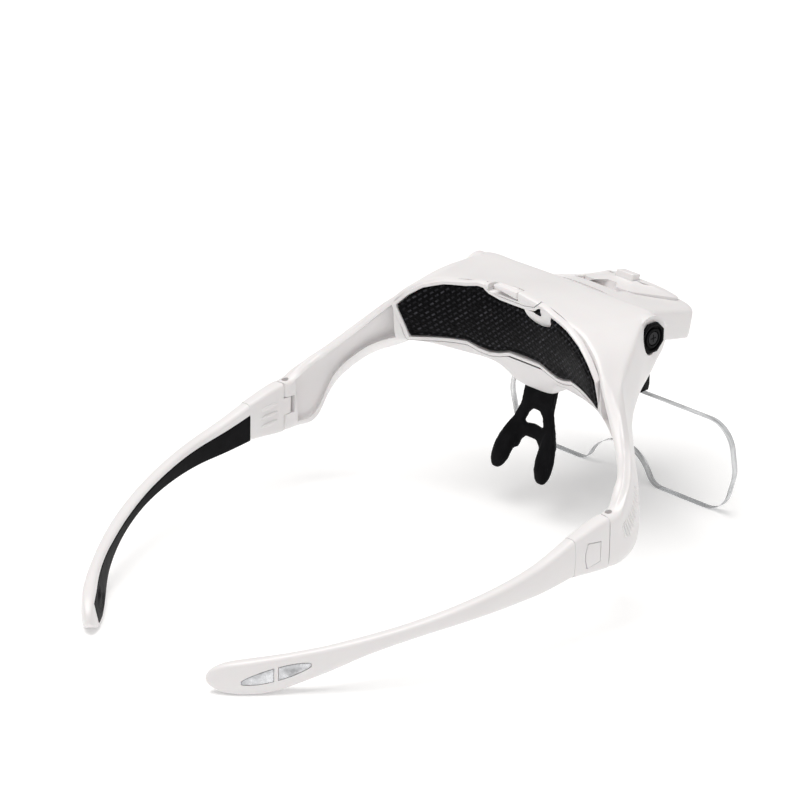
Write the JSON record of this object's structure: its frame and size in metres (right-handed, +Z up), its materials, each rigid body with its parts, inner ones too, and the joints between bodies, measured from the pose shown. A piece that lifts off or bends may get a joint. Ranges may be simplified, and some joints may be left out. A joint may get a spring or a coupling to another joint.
{
  "type": "lighted head magnifier",
  "caption": "Lighted head magnifier with folding temple legs, a clear lens plate on a flip-up clip and a tilting light unit above a padded brow frame.",
  "frame": {"origin": "centre of the footprint, at the height of the table it stands on", "axes": "+X to the wearer's left, +Y to the back of the head, +Z up"},
  "size_m": [0.1572, 0.2346, 0.0835],
  "materials": {
    "white_plastic": "satin",
    "pad_rubber": "matte",
    "black_rubber": "matte",
    "black_plastic": "satin",
    "dark_plastic": "matte",
    "steel": "satin",
    "black_steel": "satin",
    "cell_can": "satin",
    "board": "satin",
    "led_body": "gloss",
    "clear_window": "gloss",
    "clear_acrylic": "gloss",
    "silver_plastic": "satin"
  },
  "bodies": {
    "head": {"front_shell": "white_plastic", "battery_tray": "dark_plastic", "battery_cells": "cell_can", "battery_contacts": "steel", "pivot_knob_left": "black_plastic", "pivot_knob_right": "black_plastic", "pivot_screws": "black_steel", "temple_hinge_pins": "steel"},
    "door": {"battery_door": "white_plastic", "forehead_pad": "pad_rubber"},
    "latch": {"door_latch": "white_plastic"},
    "nose_pad": {"nose_pad": "black_rubber"},
    "light_unit": {"light_base": "white_plastic", "light_cover": "white_plastic", "circuit_board": "board", "leds": "led_body", "led_windows": "clear_window", "button_switch": "black_plastic", "light_screws": "steel", "lens_bracket": "black_plastic", "lens_hinge_pin": "steel"},
    "power_button": {"power_button": "white_plastic"},
    "lens_clip": {"lens_clip": "black_plastic"},
    "clip_release": {"clip_release": "silver_plastic"},
    "lens_plate": {"lens_plate": "clear_acrylic"},
    "adapter_left": {"adapter_left": "white_plastic"},
    "adapter_right": {"adapter_right": "white_plastic"},
    "release_left": {"release_button_left": "white_plastic"},
    "release_right": {"release_button_right": "white_plastic"},
    "leg_left": {"temple_leg_left": "white_plastic", "temple_liner_left": "black_rubber", "inlay_panels_left": "silver_plastic"},
    "leg_right": {"temple_leg_right": "white_plastic", "temple_liner_right": "black_rubber", "inlay_panels_right": "silver_plastic"}
  },
  "joints": [
    {"name": "door_lift", "type": "slide", "parent": "head", "child": "door", "axis": [0, 0.9563, -0.2924], "range_m": [0, 0.03]},
    {"name": "latch_slide", "type": "slide", "parent": "head", "child": "latch", "axis": [1, 0, 0], "range_m": [0, 0.0024]},
    {"name": "nose_pad_slide", "type": "slide", "parent": "head", "child": "nose_pad", "axis": [0, 0.2588, -0.9659], "range_m": [0, 0.004]},
    {"name": "light_tilt", "type": "hinge", "parent": "head", "child": "light_unit", "pos_m": [0, -0.07218, 0.0714], "axis": [-1, 0, 0], "range_deg": [0, 18]},
    {"name": "power_press", "type": "slide", "parent": "light_unit", "child": "power_button", "axis": [0, 0.2164, -0.9763], "range_m": [0, 0.0008], "stiffness_N_per_m": 400, "springref_m": -0.0004},
    {"name": "lens_flip", "type": "hinge", "parent": "light_unit", "child": "lens_clip", "pos_m": [0, -0.10472, 0.04883], "axis": [-1, 0, 0], "range_deg": [0, 85]},
    {"name": "clip_press", "type": "slide", "parent": "lens_clip", "child": "clip_release", "axis": [0, 1, 0], "range_m": [0, 0.0004], "stiffness_N_per_m": 400, "springref_m": -0.0004},
    {"name": "lens_slide", "type": "slide", "parent": "lens_clip", "child": "lens_plate", "axis": [0, 0, -1], "range_m": [0, 0.009]},
    {"name": "fold_left", "type": "hinge", "parent": "head", "child": "adapter_left", "pos_m": [0.075, -0.01588, 0.028], "axis": [0, 0, 1], "range_deg": [0, 90]},
    {"name": "fold_right", "type": "hinge", "parent": "head", "child": "adapter_right", "pos_m": [-0.075, -0.01588, 0.028], "axis": [0, 0, 1], "range_deg": [-90, 0]},
    {"name": "release_left_press", "type": "slide", "parent": "adapter_left", "child": "release_left", "axis": [-1, 0, 0], "range_m": [0, 0.0007], "stiffness_N_per_m": 400, "springref_m": -0.0004},
    {"name": "release_right_press", "type": "slide", "parent": "adapter_right", "child": "release_right", "axis": [1, 0, 0], "range_m": [0, 0.0007], "stiffness_N_per_m": 400, "springref_m": -0.0004},
    {"name": "leg_left_slide", "type": "slide", "parent": "adapter_left", "child": "leg_left", "axis": [0, 1, 0], "range_m": [0, 0.009]},
    {"name": "leg_right_slide", "type": "slide", "parent": "adapter_right", "child": "leg_right", "axis": [0, 1, 0], "range_m": [0, 0.009]}
  ]
}
